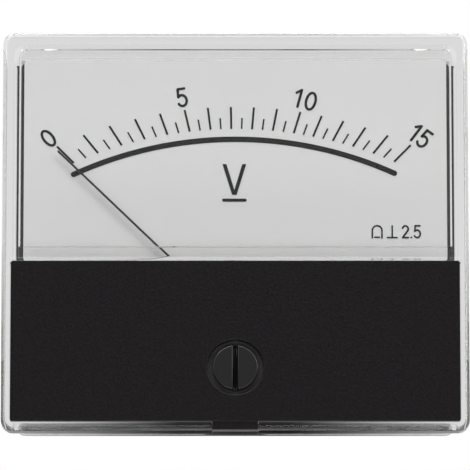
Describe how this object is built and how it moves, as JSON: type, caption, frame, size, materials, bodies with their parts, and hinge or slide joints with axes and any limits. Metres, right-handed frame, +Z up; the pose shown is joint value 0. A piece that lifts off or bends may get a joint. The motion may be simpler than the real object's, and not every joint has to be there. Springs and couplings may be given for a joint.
{
  "type": "analog panel voltmeter",
  "caption": "Rectangular moving-coil panel voltmeter with a clear cover, black lower mask, slotted zero adjuster, dial and needle, and a round rear housing with studs and terminals.",
  "frame": {"origin": "on the axis of the round rear housing, in the plane where the cover sits on the front of the panel", "axes": "+X to the right as the dial is read, +Y along the housing's axis into the panel, +Z up; the dial looks along -Y"},
  "size_m": [0.064, 0.0551, 0.056],
  "materials": {
    "clear_acrylic": "clear, polished",
    "black_mask": "matte, fine moulded grain",
    "black_screw": "satin",
    "spring_steel": "satin",
    "dial_white": "matte white paint",
    "dial_ink": "matte ink",
    "zinc_steel": "bright zinc plating",
    "brass": "satin",
    "black_housing": "satin moulded",
    "tinned_brass": "tinned",
    "soft_iron": "zinc plating, dull",
    "magnet_alloy": "ground",
    "spring_bronze": "polished",
    "former_aluminium": "satin",
    "copper_wire": "enamelled copper",
    "needle_black": "matte black lacquer",
    "resistor_lacquer": "gloss lacquer",
    "tinned_copper": "tinned",
    "wire_insulation": "satin"
  },
  "bodies": {
    "base": {"front_cover": "clear_acrylic", "front_mask": "black_mask", "dial_plate": "dial_white", "scale_print": "dial_ink", "dial_screws": "zinc_steel", "pointer_stops": "brass", "rear_housing": "black_housing", "cover_screws": "zinc_steel", "mounting_studs": "zinc_steel", "terminal_posts": "brass", "terminal_tags": "tinned_brass", "post_washers": "zinc_steel", "post_nuts": "brass", "wire_washers": "zinc_steel", "wire_nuts": "brass", "movement_plate": "zinc_steel", "movement_screws": "zinc_steel", "yoke_ring": "soft_iron", "core_magnet": "magnet_alloy", "core_spacers": "brass", "front_bridge": "brass", "rear_bridge": "brass", "bridge_screws": "zinc_steel", "jewel_screws": "brass", "jewel_nuts": "brass", "rear_spring_arm": "brass", "rear_hairspring": "spring_bronze", "series_resistor": "resistor_lacquer", "resistor_leads": "tinned_copper", "supply_lead": "wire_insulation"},
    "adjuster": {"zero_adjuster": "black_screw", "adjuster_clip": "spring_steel"},
    "zero_setting": {"zero_arm": "brass", "front_hairspring": "spring_bronze"},
    "moving_coil": {"coil_former": "former_aluminium", "coil_winding": "copper_wire", "coil_staffs": "spring_steel", "pointer": "needle_black", "balance_weights": "brass"}
  },
  "joints": [
    {"name": "adjuster_turn", "type": "hinge", "parent": "base", "child": "adjuster", "pos_m": [0, -0.009, -0.01925], "axis": [0, 1, 0], "range_deg": [-40, 40]},
    {"name": "zero_arm_turn", "type": "hinge", "parent": "base", "child": "zero_setting", "pos_m": [0, -0.0064, -0.0113], "axis": [0, 1, 0], "range_deg": [-5.4, 5.4]},
    {"name": "needle_swing", "type": "hinge", "parent": "zero_setting", "child": "moving_coil", "pos_m": [0, -0.004, -0.0113], "axis": [0, 1, 0], "range_deg": [-2, 93], "stiffness_Nm_per_rad": 0.00005, "deforming": ["front_hairspring", "rear_hairspring"]}
  ],
  "couplings": [
    {"joint": "zero_arm_turn", "follows": "adjuster_turn", "ratio": -0.131}
  ]
}
